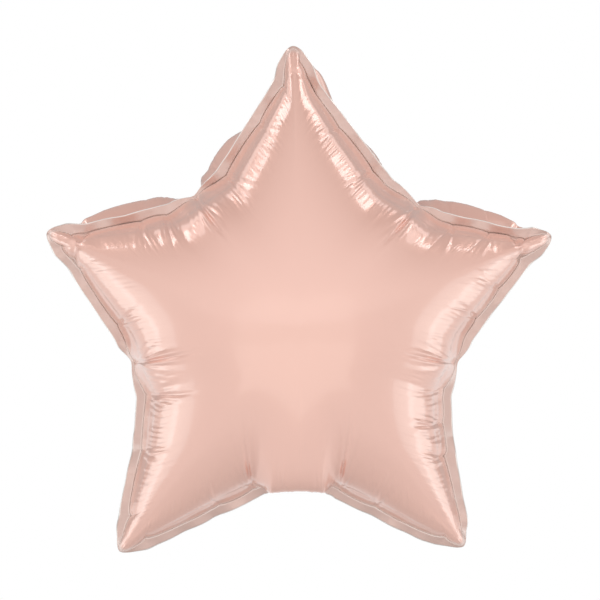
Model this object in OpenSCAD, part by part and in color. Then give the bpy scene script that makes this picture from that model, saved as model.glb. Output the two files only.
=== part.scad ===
// Star-shaped foil balloon: two film panels welded round their edge, a filling tail and a flap valve.
// The star stands upright with its front facing -Y. The origin is where the tail leaves the bottom notch.

/* [Star] */
// Reach of a point from the star's middle
point_reach = 240; // [200:1:280]
// Reach of a notch from the star's middle
notch_reach = 146; // [125:1:165]
// Depth of the filled star
depth = 156; // [110:1:190]
// Fullness that an arm gains towards its point
arm_fullness = 0.4; // [0:0.05:0.6]

/* [Film] */
// Drawn thickness of the foil film, which is really about 0.05
film_t = 0.4; // [0.3:0.05:0.6]
// Width of the welded rim
rim_w = 8.5; // [4:0.5:12]

/* [Puckers] */
// How far a pinch draws the seam in
pinch_in = 1.4; // [0:0.2:4]
// How far a lobe between two pinches pushes the seam out
lobe_out = 0.6; // [0:0.2:2]
// How far the front film hangs over the neck
neck_bulge = 3.5; // [0:0.5:5]
// Fullness of the rear lobes, as a share of what the list of lobes gives
rear_full = 1; // [0:0.1:1.1]
// Depth of the crease that runs in from a pinch
crease = 2; // [0:0.5:4]

/* [Tail] */
// Width of the filling tail
tail_w = 28; // [24:1:32]
// Length of the filling tail
tail_l = 76; // [50:1:100]
// Diameter of the tie hole
hole_d = 6; // [3:0.5:8]

/* [Valve] */
// Width of the valve's two plies
valve_w = 22; // [16:1:23]
// Length of the valve inside the star
leaf_l = 95; // [50:1:110]
// Drawn thickness of a valve ply, which is really about 0.03
ply_t = 0.25; // [0.1:0.05:0.4]

/* [Hidden] */

foil = "#E3B7A8";
foil_edge = "#C99586";
clear_film = "#E9E4DE";
release_ink = "#B9C3CC";

FRONT = -1;
REAR = 1;

// The star as it hangs, which isn't quite regular. Points and notches run clockwise from the top.
// Each departs from its regular place by a share of the reach and by degrees of turn.
arms = 5;
arm_turn = 360 / arms;
point_set = [[1.02, 1.4], [0.98, 1], [1.035, 0], [1.09, -2], [0.99, -1.5]];
notch_set = [[1, -9.5], [0.975, 3.5], [0.89, 0], [1.04, -4.5], [0.987, 4]];
neck = 2;
middle = [0, notch_reach];

function spot(reach, turn) = middle + reach * [cos(turn), sin(turn)];
points = [for (i = [0:arms - 1])
    spot(point_reach * point_set[i][0], 90 - i * arm_turn + point_set[i][1])];
notches = [for (i = [0:arms - 1])
    spot(notch_reach * notch_set[i][0], 90 - (i + 0.5) * arm_turn + notch_set[i][1])];

// Where the seam is pinched, as shares of the way from a notch to a point.
// Each arm has the flank before its point, then the flank after it.
pinches = [
    [[0.20, 0.54, 0.785], [0.27, 0.545, 0.925]],
    [[0.28, 0.55, 0.82], [0.30, 0.54, 0.77]],
    [[0.14, 0.32, 0.50], [0.24, 0.46, 0.88]],
    [[0.26, 0.44, 0.85], [0.16, 0.45, 0.80]],
    [[0.26, 0.69, 0.88], [0.21, 0.38, 0.85]]
];

// How far the rear film stands out past the seam along each flank, and the lobes it has on top of that:
// where each starts and ends as a share of the way from notch to point, where it is fullest, and its reach
rear_stand = [[6, 5], [5, 4], [3, 0], [0, 3], [4, 5]];
rear_lobes = [
    [[[0, 0.54, 0.5, 10], [0.54, 0.79, 0.55, 3]], [[0, 0.55, 0.6, 7], [0.55, 0.96, 0.6, 8]]],
    [[[0, 0.97, 0.45, 11]], [[0, 0.32, 0.5, 4], [0.32, 0.76, 0.5, 5]]],
    [[[0, 0.4, 0.5, 3], [0.4, 0.74, 0.5, 2]], [[0.24, 0.55, 0.5, 4], [0.55, 0.8, 0.5, 3]]],
    [[[0.24, 0.5, 0.5, 4], [0.5, 0.8, 0.5, 3]], [[0, 0.44, 0.4, 4], [0.44, 0.78, 0.5, 2]]],
    [[[0, 0.78, 0.45, 6]], [[0, 0.97, 0.5, 10]]]
];

// How far the seam bows in along each flank, and the shares between which this fades away
// towards the point
seam_bow = [
    [[11, 0.72, 1], [11, 0.72, 1]],
    [[8, 0.72, 1], [8, 0.72, 1]],
    [[13, 0.3, 1.15], [-3, 0.72, 1]],
    [[0, 0.72, 1], [13, 0.3, 1.15]],
    [[5.5, 0.72, 1], [8, 0.72, 1]]
];

function sum(list) = list * [for (value = list) 1];
function unit(v) = v / norm(v);
function ease(x, low, high) = let (t = min(1, max(0, (x - low) / (high - low)))) t * t * (3 - 2 * t);

// Swell of the film over a spot of the star's plane. It is nothing on the outline and rises inwards:
// sunk() is how deep the spot lies inside the edges, half_width() how wide the arm is there.
// The neck's notch is cut off level. Close to the seam the film is a steep wall.
tiny = 1e-6;
wall_slope = 2.6;
wall_turn = 8;
point_half = 2;
function inside(p, a, b) = ((p.x - a.x) * (b.y - a.y) - (p.y - a.y) * (b.x - a.x)) / norm(b - a);
function notch_room(p, i) =
    let (before = max(0, inside(p, points[i], notches[i])))
    let (after = max(0, inside(p, notches[i], points[(i + 1) % arms])))
    let (over_neck = i == neck ? max(0, p.y) : 0)
    before * before + after * after + over_neck * over_neck + tiny;
function sunk(p) = sqrt(2 / sum([for (i = [0:arms - 1]) 1 / notch_room(p, i)]));
function out_along(p, i) =
    let (axis = points[i] - middle)
    max(0, (p - middle) * axis / (axis * axis));
function along(p) = pow(sum([for (i = [0:arms - 1]) pow(out_along(p, i), 4)]), 0.25);
sunk_most = sunk(middle);
function half_width(p) = sunk_most * (1 - along(p)) + point_half;
function fullness(w) = depth / 2 / sunk_most + arm_fullness * (1 - w / sunk_most);
function section(share) = sqrt(1 - pow(1 - min(1, share), 2));
function dome(p) = let (w = half_width(p)) w * fullness(w) * section(sunk(p) / w);
function swell(p) =
    let (wall = wall_slope * sunk(p) / sqrt(2))
    pow(pow(max(tiny, dome(p)), -wall_turn) + pow(max(tiny, wall), -wall_turn), -1 / wall_turn);

// The seam is followed clockwise in columns: a pinch, the lobe after it, the next pinch.
flank_cols = 8;
arm_cols = 2 * flank_cols;
cols = arms * arm_cols;
function arm(c) = floor(c / arm_cols) % arms;
function flank(c) = c % arm_cols <= flank_cols ? 0 : 1;
function rank(c) = flank(c) == 0 ? c % arm_cols : arm_cols - c % arm_cols;
function notch_of(c) = (arm(c) + flank(c) + arms - 1) % arms;
function at_neck(c) = notch_of(c) == neck && rank(c) < 2;
function share(c) =
    let (stops = concat([0], pinches[arm(c)][flank(c)], [1]))
    let (k = rank(c) / 2)
    (stops[floor(k)] + stops[ceil(k)]) / 2;
function puff(c) = at_neck(c) ? 0 : rank(c) == flank_cols ? 1 : rank(c) % 2;
function dented(c) = at_neck(c) ? 0 : rank(c) == 0 ? 1.6 : 1 - puff(c);

neck_drop = -0.2;
function edge_spot(c) =
    let (from = notches[notch_of(c)])
    let (at = from + share(c) * (points[arm(c)] - from))
    at_neck(c) ? [at.x, rank(c) == 0 ? 0 : neck_drop] : at;
function outward(c) =
    let (d = unit(points[arm(c)] - notches[notch_of(c)]))
    at_neck(c) ? [0, -1] :
    rank(c) == 0 ? unit(notches[notch_of(c)] - middle) :
    rank(c) == flank_cols ? unit(points[arm(c)] - middle) :
    flank(c) == 0 ? [-d.y, d.x] : [d.y, -d.x];

// The ridge of an arm stops a little short of its point.
ridge_end = 0.96;
function ridge_spot(c) = middle + rank(c) / flank_cols * ridge_end * (points[arm(c)] - middle);
function bow(c) =
    let (at = share(c), full = seam_bow[arm(c)][flank(c)])
    full[0] * ease(at, 0, 0.2) * (1 - ease(at, full[1], full[2])) * (1 - ease(at, 0.9, 1));
function seam_line(c) = edge_spot(c) - (at_neck(c) ? 0 : bow(c)) * outward(c);
function seam_shift(c) = (at_neck(c) ? 0 : lobe_out * puff(c) - pinch_in * (1 - puff(c))) * outward(c);
function seam(c) = let (s = seam_line(c) + seam_shift(c)) [s.x, 0, s.y];

// How far each film stands out past the seam: the front one over the neck, the rear one in its lobes
lobe_square = 0.8;
lobe_turn = 4;
full_lobe = 14;
function lobe_rise(at, lobe) =
    let (t = min(1, max(0, (at - lobe[0]) / (lobe[1] - lobe[0]))))
    lobe[3] * pow(max(0, sin(180 * pow(t, ln(0.5) / ln(lobe[2])))), lobe_square);
function rear_out(c) =
    let (at = share(c))
    let (stand = rear_stand[arm(c)][flank(c)] * ease(at, 0, 0.15) * (1 - ease(at, 0.75, 1)))
    let (rise = max([for (lobe = rear_lobes[arm(c)][flank(c)]) lobe_rise(at, lobe)]))
    at_neck(c) ? 0 : rear_full * (stand + rise);
function film_out(c, side) = side == REAR ? rear_out(c) : at_neck(c) ? neck_bulge : 0;
function lift(c, side) = side == REAR ? min(1, rear_out(c) / full_lobe) : at_neck(c) ? 1 : 0;

// A skin runs from the ridge (v = 0) to the seam (v = 1).
rows = [0.32, 0.58, 0.78, 0.9, 0.965];
wide_arm = 45;
function skin(c, v, side) =
    let (ridge = ridge_spot(c), run = seam_line(c) - ridge)
    let (p = ridge + v * (edge_spot(c) - ridge))
    let (full_out = film_out(c, side) + (1 - v) * norm(run) * lift(c, side))
    let (stand_out = full_out * sin(180 * pow(v, lobe_turn)) * outward(c))
    let (q = ridge + v * run + pow(v, 3) * seam_shift(c) + stand_out)
    let (dent = crease * dented(c) * min(1, half_width(p) / wide_arm) * sin(180 * pow(v, 5)))
    [q.x, side * (swell(p) - dent), q.y];

// The welded rim leans back, a little more and less by turns as it passes the lobes. It leans to the
// front where a full rear lobe stands behind it, and far back at the neck. It narrows towards the points
// and the notches.
lean_lobe = 6;
lean_back = 24;
lean_rear = 18;
lean_neck = 75;
rim_point = 0.45;
rim_notch = 0.18;
function lean(c) =
    at_neck(c) ? lean_neck * rank(c) :
    rank(c) == flank_cols ? 0 :
    lean_lobe * puff(c) * (rank(c) % 4 == 1 ? 1 : -1) + lean_back - (lean_back + lean_rear) * lift(c, REAR);
function rim_reach(c) =
    let (by_notch = notch_of(c) == neck ? 1 : rim_notch + (1 - rim_notch) * ease(share(c), 0, 0.16))
    rim_w * by_notch * (1 - (1 - rim_point) * ease(share(c), 0.84, 0.97));
function rim_way(c) = let (o = outward(c)) [o.x * cos(lean(c)), sin(lean(c)), o.y * cos(lean(c))];
function rim_up(c) = let (o = outward(c)) [-o.x * sin(lean(c)), cos(lean(c)), -o.y * sin(lean(c))];

// Rings of one panel: down the outer skin, round the welded end, and back up the inner skin,
// which lies a film's thickness below the outer one
function weld_ring(side) = [for (c = [0:cols - 1]) seam(c) + film_t * (rim_way(c) + side * rim_up(c))];
function outer_rings(side) = concat(
    [[for (c = [0:cols - 1]) skin(c, 0, side)]],
    [for (v = rows) [for (c = [0:cols - 1]) skin(c, v, side)]],
    [weld_ring(side)]
);
function under(rings, r, c, side) =
    let (here = rings[r][c], down = rings[r + 1][c] - rings[r - 1][c])
    let (before = unit(cross(here - rings[r][(c + cols - 1) % cols], down)))
    let (after = unit(cross(rings[r][(c + 1) % cols] - here, down)))
    here + film_t * side * (before + after) / max(0.4, 1 + before * after);
function panel_rings(side) =
    let (outer = outer_rings(side))
    concat(
        [for (r = [1:len(rows) + 1]) outer[r]],
        [[for (c = [0:cols - 1]) seam(c) + film_t * rim_way(c)]],
        [[for (c = [0:cols - 1]) seam(c)]],
        [for (r = [len(rows):-1:1]) [for (c = [0:cols - 1]) under(outer, r, c, side)]]
    );
function ridge_line(side, inset) = concat(
    [[middle.x, side * (swell(middle) - inset), middle.y]],
    [for (i = [0:arms - 1], k = [1:flank_cols])
        let (p = ridge_spot(i * arm_cols + k))
        [p.x, side * (swell(p) - inset), p.y]]
);
ridge_count = 1 + arms * flank_cols;
function ridge_index(c) = rank(c) == 0 ? 0 : arm(c) * flank_cols + rank(c);
function two(a, b, c, d) = [[a, b, c], [a, c, d]];
function two_across(a, b, c, d) = [[a, b, d], [b, c, d]];
function turned(face, side) = side == FRONT ? face : [face[2], face[1], face[0]];

// The inner skin is split along the same diagonals as the outer one, so that the two never cross.
module panel(side) {
    rings = panel_rings(side);
    last = len(rings) - 1;
    inner_from = len(rows) + 2;
    ring_at = 2 * ridge_count;
    outer_wall = [for (r = [0:inner_from - 1], c = [0:cols - 1])
        let (here = ring_at + r * cols, n = (c + 1) % cols)
        each two(here + c, here + cols + c, here + cols + n, here + n)];
    inner_wall = [for (r = [inner_from:last - 1], c = [0:cols - 1])
        let (here = ring_at + r * cols, n = (c + 1) % cols)
        each two_across(here + c, here + cols + c, here + cols + n, here + n)];
    crown = [for (c = [0:cols - 1])
        let (n = (c + 1) % cols)
        each two(ridge_index(c), ring_at + c, ring_at + n, ridge_index(n))];
    lining = [for (c = [0:cols - 1])
        let (here = ring_at + last * cols, n = (c + 1) % cols)
        each two_across(here + c, ridge_count + ridge_index(c), ridge_count + ridge_index(n), here + n)];
    polyhedron(
        concat(ridge_line(side, 0), ridge_line(side, film_t), [for (ring = rings) each ring]),
        [for (face = concat(crown, outer_wall, inner_wall, lining)) turned(face, side)]
    );
}

module front_panel() color(foil) panel(FRONT);

module rear_panel() color(foil) panel(REAR);

// The two films fused into one band, which stops on each side of the tail
module seal_rim() {
    first = (neck + 1) * arm_cols + 1;
    count = cols - 1;
    turn = 5;
    last = turn * (count - 1);
    posts = [for (k = [0:count - 1])
        let (c = (first + k) % cols)
        let (start = seam(c) + film_t * rim_way(c), end = seam(c) + rim_reach(c) * rim_way(c))
        each [start, start - film_t * rim_up(c), end - film_t * rim_up(c),
            end + film_t * rim_up(c), start + film_t * rim_up(c)]];
    // Round a post: the weld to the front panel, the front face, the edge, the rear face, the rear weld
    across = [true, false, false, true, false];
    walls = [for (k = [0:count - 2], j = [0:turn - 1])
        let (a = turn * k + j, b = turn * k + (j + 1) % turn)
        each across[j] ? two_across(a, b, b + turn, a + turn) : two(a, b, b + turn, a + turn)];
    ends = [
        [4, 3, 0], [3, 2, 0], [2, 1, 0],
        [last, last + 3, last + 4], [last, last + 2, last + 3], [last, last + 1, last + 2]
    ];
    color(foil_edge) polyhedron(posts, concat(walls, ends));
}

// The tail is stored folded straight back under the star, its front film lowest.
crease_z = -1.8;
crease_gap = 0.5;
ink_t = 0.05;
stack = 2 * film_t + 2 * ply_t + ink_t;
stack_z = crease_z - stack / 2;
corner_r = 5;
weld_w = 2;
hole_inset = 12;
mouth_l = tail_l - 2 * hole_inset;
ink_w = valve_w / 2;

module tab(w, from, to) {
    translate([-w / 2, from]) square([w, to - from - corner_r]);
    translate([-w / 2 + corner_r, from]) square([w - 2 * corner_r, to - from]);
    for (x = [-1, 1]) translate([x * (w / 2 - corner_r), to - corner_r]) circle(r = corner_r, $fn = 48);
}

module tail_outline() {
    difference() {
        tab(tail_w, crease_gap, tail_l);
        translate([0, tail_l - hole_inset]) circle(d = hole_d, $fn = 48);
    }
}

module layer(z, t) translate([0, 0, z]) linear_extrude(t) children();

module tail_front_film() color(foil) layer(stack_z, film_t) tail_outline();

// The rear film, with the two welds that close the tail's long sides
module tail_rear_film() {
    color(foil) {
        layer(stack_z + stack - film_t, film_t) tail_outline();
        for (x = [-tail_w / 2, tail_w / 2 - weld_w])
            layer(stack_z + film_t, stack - film_t)
                translate([x, crease_gap]) square([weld_w, tail_l - hole_inset - crease_gap]);
    }
}

module mouth_outline() translate([-valve_w / 2, crease_gap]) square([valve_w, mouth_l - crease_gap]);

module valve_mouth_front() color(clear_film) layer(stack_z + film_t, ply_t) mouth_outline();

module valve_mouth_rear()
    color(clear_film) layer(stack_z + film_t + ply_t + ink_t, ply_t) mouth_outline();

// Heat-proof print that keeps the two plies from welding together where the rim crosses them
module release_strip()
    color(release_ink) layer(stack_z + film_t + ply_t, ink_t)
        translate([-ink_w / 2, crease_gap]) square([ink_w, mouth_l - crease_gap]);

// The two plies that the gas presses shut inside the star
leaf_z = 1;
leaf_gap = 0.1;
module leaf(y)
    color(clear_film)
        translate([0, y + ply_t, 0]) rotate([90, 0, 0])
            linear_extrude(ply_t) tab(valve_w, leaf_z, leaf_z + leaf_l);

module valve_leaf_front() leaf(-leaf_gap - ply_t);

module valve_leaf_rear() leaf(leaf_gap);

front_panel();
rear_panel();
seal_rim();
tail_front_film();
tail_rear_film();
valve_mouth_front();
valve_mouth_rear();
release_strip();
valve_leaf_front();
valve_leaf_rear();
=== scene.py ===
import math
from contextlib import contextmanager

import bpy
import numpy as np
from mathutils import Matrix, Vector


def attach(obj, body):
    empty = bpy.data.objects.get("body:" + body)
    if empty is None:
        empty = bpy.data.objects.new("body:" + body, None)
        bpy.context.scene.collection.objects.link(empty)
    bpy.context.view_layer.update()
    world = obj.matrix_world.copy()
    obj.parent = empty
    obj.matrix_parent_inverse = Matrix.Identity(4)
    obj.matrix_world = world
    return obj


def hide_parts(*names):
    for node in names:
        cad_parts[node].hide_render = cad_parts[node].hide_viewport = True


bl_info = {
    "name": "Star foil balloon",
    "version": (1, 0, 0),
    "blender": (4, 5, 0),
    "location": "View3D > Sidebar > Balloon",
    "description": "Dresses a star foil balloon: film panels, welded rim, filling tail and valve",
    "category": "Object",
}

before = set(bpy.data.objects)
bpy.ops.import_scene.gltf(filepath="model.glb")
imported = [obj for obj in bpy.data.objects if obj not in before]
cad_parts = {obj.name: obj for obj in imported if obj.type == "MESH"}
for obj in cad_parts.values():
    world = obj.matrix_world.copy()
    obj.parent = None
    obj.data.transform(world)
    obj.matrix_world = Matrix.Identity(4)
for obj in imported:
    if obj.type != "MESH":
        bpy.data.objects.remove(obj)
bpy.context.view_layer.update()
MM = 0.001

# The star, seen from the front. Points and notches run clockwise from the top.
# Each departs from its regular place by a share of the reach and by degrees of turn.
ARMS = 5
NECK = 2
FRONT = -1
REAR = 1
POINT_SET = ((1.02, 1.4), (0.98, 1), (1.035, 0), (1.09, -2), (0.99, -1.5))
NOTCH_SET = ((1.0, -9.5), (0.975, 3.5), (0.89, 0), (1.04, -4.5), (0.987, 4))

# Pinches of the seam on each arm's flank before its point, then on the flank after it.
# Each has its share of the way from notch to point, and the reach and the slant of its crease.
PINCHES = (
    (((0.20, 38, 12), (0.54, 22, 8), (0.785, 15, 0)), ((0.27, 36, -10), (0.545, 24, -6), (0.925, 9, 0))),
    (((0.28, 26, 0), (0.55, 18, 6), (0.82, 13, 0)), ((0.30, 30, -8), (0.54, 20, 0), (0.77, 13, 0))),
    (((0.14, 30, 4), (0.32, 40, -4), (0.50, 22, 6)), ((0.24, 75, 18), (0.46, 17, -20), (0.88, 9, 0))),
    (((0.26, 75, -18), (0.44, 26, 16), (0.85, 9, 0)), ((0.16, 58, 10), (0.45, 28, -8), (0.80, 12, 6))),
    (((0.26, 36, 8), (0.69, 18, 0), (0.88, 11, 0)), ((0.21, 38, 0), (0.38, 30, 0), (0.85, 11, 0))),
)
NOTCH_REACH = (50, 52, 0, 62, 46)

# The film is painted paler this near to the weld, as a painted highlight, and by this share
WELD_HIGHLIGHT_REACH = 2 * MM
WELD_HIGHLIGHT_SHARE = 0.5

# Flanks, counted two to an arm, that are smooth between their pinches, and how high their folds stand there
CALM_FLANKS = (2, 9)
CALM = 0.3

# Outer flanks of the legs, whose rim leans further back near the notch
TILTED_FLANKS = (4, 7)

# The film has a groove this far in from the seam, at the foot of its roll, this deep and this wide, all in
# millimetres
WALL_EDGE = 9
WALL_GROOVE = 1.0
GROOVE_WIDTH = 1.2

# Waist behind the round end of an arm: arm, share of the way out to its point, and its depth and width
# in millimetres
WAISTS = ((0, 0.90, 0.8, 3.0), (1, 0.885, 2.4, 3.2), (4, 0.885, 2.4, 3.2))

# Rows of the film's mesh are about evenly spread as far as this from the seam
ROW_SPREAD = 20 * MM

# Power that makes the seam's lobes flat-topped, with narrow pinches between them
LOBE_SQUARE = 0.5

# Steepness of the film where it leaves the seam, and how sharply it turns from there to the face
WALL_SLOPE = 2.6
WALL_TURN = 8

# How far the rear film stands out past the seam along each flank in millimetres, and the lobes it has
# on top of that: where each starts and ends as a share of the way from notch to point, where it is
# fullest, and its reach
REAR_STAND = ((6, 5), (5, 4), (3, 0), (0, 3), (4, 5))
REAR_LOBES = (
    (((0, 0.54, 0.5, 10), (0.54, 0.79, 0.55, 3)), ((0, 0.55, 0.6, 7), (0.55, 0.96, 0.6, 8))),
    (((0, 0.97, 0.45, 11),), ((0, 0.32, 0.5, 4), (0.32, 0.76, 0.5, 5))),
    (((0, 0.4, 0.5, 3), (0.4, 0.74, 0.5, 2)), ((0.24, 0.55, 0.5, 4), (0.55, 0.8, 0.5, 3))),
    (((0.24, 0.5, 0.5, 4), (0.5, 0.8, 0.5, 3)), ((0, 0.44, 0.4, 4), (0.44, 0.78, 0.5, 2))),
    (((0, 0.78, 0.45, 6),), ((0, 0.97, 0.5, 10),)),
)

# A lobe as full as this stands clear of the seam. The higher its turn, the nearer to the seam it is widest.
FULL_LOBE = 14 * MM
LOBE_TURN = 4

# How far the seam bows in along each flank in millimetres, and the shares between which this fades away
# towards the point, on most flanks and on the tilted ones
SEAM_BOW = ((11, 11), (8, 8), (13, -3), (0, 13), (5.5, 8))
BOW_FADE = (0.72, 1)
TILTED_FADE = (0.3, 1.15)


def size_setting(name, description, default):
    return bpy.props.FloatProperty(name=name, description=description, default=default, unit="LENGTH")


def colour_setting(name, description, default):
    return bpy.props.FloatVectorProperty(
        name=name, description=description, default=default, subtype="COLOR", size=3, min=0, max=1)


class BalloonSizes(bpy.types.PropertyGroup):
    """Sizes of the filled balloon."""

    point_reach: size_setting("Point reach", "From the star's middle to a point", 0.240)
    notch_reach: size_setting("Notch reach", "From the star's middle to a notch", 0.146)
    depth: size_setting("Depth", "Depth of the filled star", 0.156)
    rim_width: size_setting("Rim width", "Width of the welded rim", 0.0085)
    pinch_in: size_setting("Pinch", "How far a pinch draws the seam in", 0.0014)
    lobe_out: size_setting("Lobe", "How far a lobe pushes the seam out", 0.0006)
    neck_middle: size_setting("Neck middle", "How far the film hangs over the neck's middle", -0.0005)
    neck_side: size_setting("Neck side", "How far the film hangs over the neck's sides", 0.0067)
    tail_width: size_setting("Tail width", "Width of the filling tail", 0.028)
    tail_length: size_setting("Tail length", "Length of the filling tail", 0.076)
    tie_hole: size_setting("Tie hole", "Diameter of the hole near the tail's end", 0.006)
    valve_width: size_setting("Valve width", "Width of the valve's clear plies", 0.022)
    film: size_setting("Film", "Thickness that the film is drawn with", 0.00015)


class BalloonColours(bpy.types.PropertyGroup):
    """Colours of the balloon's finishes."""

    foil: colour_setting("Foil", "Rose-gold metal of the film", (0.955, 0.55, 0.445))
    foil_deep: colour_setting("Deep foil", "Cooler patches of the film", (0.94, 0.525, 0.425))
    # Painted shade: the rim's foil is a darker copy of the film's foil
    rim: colour_setting("Rim", "Film fused in the rim", (0.74, 0.475, 0.40))
    # Painted highlight colour, for the rim's outer edge and for the rim and the film along the weld
    painted_highlight_colour: colour_setting("Trimmed edge", "Rim's cut edge, and foil by its weld", (0.97, 0.86, 0.80))
    valve: colour_setting("Valve film", "Clear polyethylene of the valve", (0.86, 0.84, 0.80))
    release: colour_setting("Release print", "Heat-proof print in the valve", (0.62, 0.67, 0.70))


# Shape of the star in its own plane, as arrays of (x, z) in metres

def turn_way(way, degrees):
    """A direction, turned."""
    angle = math.radians(degrees)
    c, s = math.cos(angle), math.sin(angle)
    return np.array([way[0] * c - way[1] * s, way[0] * s + way[1] * c])


def outward(way, flank):
    """Square to a flank's way from notch to point, out of the star."""
    left = np.array([-way[1], way[0]])
    return left if flank == 0 else -left


class Star:
    """The star's outline and the swell of its film."""

    def __init__(self, sizes):
        self.sizes = sizes
        step = 360 / ARMS
        self.middle = np.array([0.0, sizes.notch_reach])
        self.points = np.array([
            self.middle + turn_way((sizes.point_reach * share, 0), 90 - i * step + turn)
            for i, (share, turn) in enumerate(POINT_SET)])
        self.notches = np.array([
            self.middle + turn_way((sizes.notch_reach * share, 0), 90 - (i + 0.5) * step + turn)
            for i, (share, turn) in enumerate(NOTCH_SET)])
        self.sunk_most = float(self.sunk(self.middle[None])[0])
        self.skin, self.spread = blown_skin(self)
        self.skin_most = self.skin.values.max()

    def inside(self, spots, a, b):
        """How far each spot lies inside the line from a to b."""
        edge = (b - a) / np.linalg.norm(b - a)
        away = spots - a
        return np.maximum(0, away[..., 0] * edge[1] - away[..., 1] * edge[0])

    def sunk(self, spots):
        """How deep each spot lies inside the edges."""
        total = 0
        for i in range(ARMS):
            before = self.inside(spots, self.points[i], self.notches[i])
            after = self.inside(spots, self.notches[i], self.points[(i + 1) % ARMS])
            over_neck = np.maximum(0, spots[..., 1]) if i == NECK else 0
            total = total + 1 / (before ** 2 + after ** 2 + over_neck ** 2 + 1e-12)
        return np.sqrt(2 / total)

    def half_width(self, spots):
        """How wide the arm is there, on each side of its ridge."""
        total = 0
        for point in self.points:
            axis = point - self.middle
            total = total + np.maximum(0, (spots - self.middle) @ axis / (axis @ axis)) ** 4
        return self.sunk_most * (1 - total ** 0.25) + 2 * MM

    def swell(self, spots):
        """Height of the film: a skin blown up over the outline, round where it leaves the seam."""
        sunk = self.sunk(spots)
        near = self.spread.at(spots) * sunk
        push = near + smooth(sunk, *SKIN_TAKES_OVER) * (self.skin.at(spots) - near)
        dome = self.sizes.depth / 2 * np.sqrt(np.maximum(push, 0) / self.skin_most)
        wall = WALL_SLOPE * sunk / math.sqrt(2)
        both = [np.maximum(height, 1e-6) ** -WALL_TURN for height in (dome, wall)]
        return sum(both) ** (-1 / WALL_TURN)


class Field:
    """Values on a square grid over the star, read between its spots by smooth blending."""

    step = 2 * MM
    low = np.array([-0.25, -0.09])
    count = np.array([250, 250])

    def __init__(self, values=None):
        self.values = values

    @classmethod
    def spots(cls):
        axes = [cls.low[k] + cls.step * np.arange(cls.count[k]) for k in (0, 1)]
        return np.stack(np.meshgrid(*axes, indexing="ij"), -1)

    def at(self, spots):
        place = (spots - self.low) / self.step
        base = np.clip(np.floor(place).astype(int), 1, self.count - 3)
        part = place - base
        weights = [((1 - part) ** 3) / 6, (3 * part ** 3 - 6 * part ** 2 + 4) / 6,
                   (-3 * part ** 3 + 3 * part ** 2 + 3 * part + 1) / 6, part ** 3 / 6]
        total = 0
        for i in range(4):
            for j in range(4):
                value = self.values[base[..., 0] + i - 1, base[..., 1] + j - 1]
                total = total + weights[i][..., 0] * weights[j][..., 1] * value
        return total


# Rounds that settle the skin, and how far each step overshoots so that it settles soon
SKIN_ROUNDS = 420
SKIN_OVERSHOOT = 1.96

# The skin's share of depth is taken this far in and carried out to the edges in rounds. The swell goes over
# from that share to the skin itself between these depths.
SHARE_FROM = 6 * MM
SHARE_ROUNDS = 14
SKIN_TAKES_OVER = (10 * MM, 22 * MM)


def beside(values):
    """Sum of the four values beside each one on a grid."""
    return sum(np.roll(values, way, axis) for axis in (0, 1) for way in (1, -1))


def blown_skin(star):
    """The push of a skin that is fixed along the outline and blown up evenly, and its share of depth."""
    spots = Field.spots()
    sunk = star.sunk(spots)
    inside = sunk > 0.2 * MM
    push = np.where(inside, 0.25 * sunk * (0.2 - sunk), 0.0)
    even = (np.indices(sunk.shape).sum(0) % 2 == 0)
    for _ in range(SKIN_ROUNDS):
        for half in (even, ~even):
            step = SKIN_OVERSHOOT * (0.25 * beside(push) + 0.25 * Field.step ** 2 - push)
            push = push + np.where(half & inside, step, 0)
    known = sunk > SHARE_FROM
    share = np.where(known, push / np.maximum(sunk, 1e-9), 0.0)
    for _ in range(SHARE_ROUNDS):
        total, count = beside(share * known), beside(known.astype(float))
        fresh = ~known & (count > 0)
        share = np.where(fresh, total / np.maximum(count, 1), share)
        known = known | fresh
    return Field(push), Field(share)


def smooth(value, low, high):
    """Rise from 0 to 1 between low and high, with soft ends."""
    share = np.clip((value - low) / (high - low), 0, 1)
    return share * share * (3 - 2 * share)


def unit(vectors):
    return vectors / np.maximum(np.linalg.norm(vectors, axis=-1, keepdims=True), 1e-12)


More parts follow.
